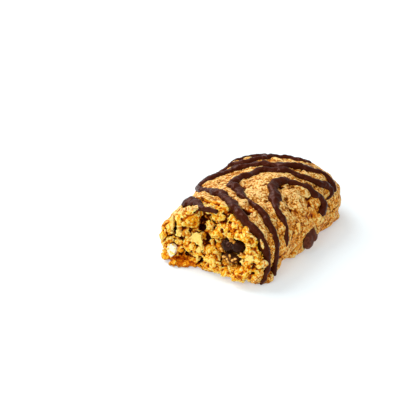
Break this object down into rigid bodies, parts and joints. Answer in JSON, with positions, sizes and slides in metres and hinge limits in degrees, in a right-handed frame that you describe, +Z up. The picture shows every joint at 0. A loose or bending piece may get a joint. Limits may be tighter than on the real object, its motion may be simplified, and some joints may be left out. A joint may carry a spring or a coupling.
{
  "type": "granola bar",
  "caption": "Half of a soft-baked granola bar, broken across, with chocolate drizzle on its arched top and chocolate chips in its crumb.",
  "frame": {"origin": "on the surface the bar lies on, under the middle of its bounding box", "axes": "+X across the bar, +Y along it from the broken face to the closed end, +Z up"},
  "size_m": [0.0383, 0.0608, 0.021],
  "materials": {
    "baked_dough": "soft-baked oat crumb, golden and matte, with a browner crust",
    "chocolate": "dark chocolate with a soft sheen"
  },
  "bodies": {
    "root": {"bar": "baked_dough", "chocolate_chip_front": "chocolate", "chocolate_chip_low": "chocolate", "chocolate_chip_side": "chocolate"}
  },
  "joints": []
}
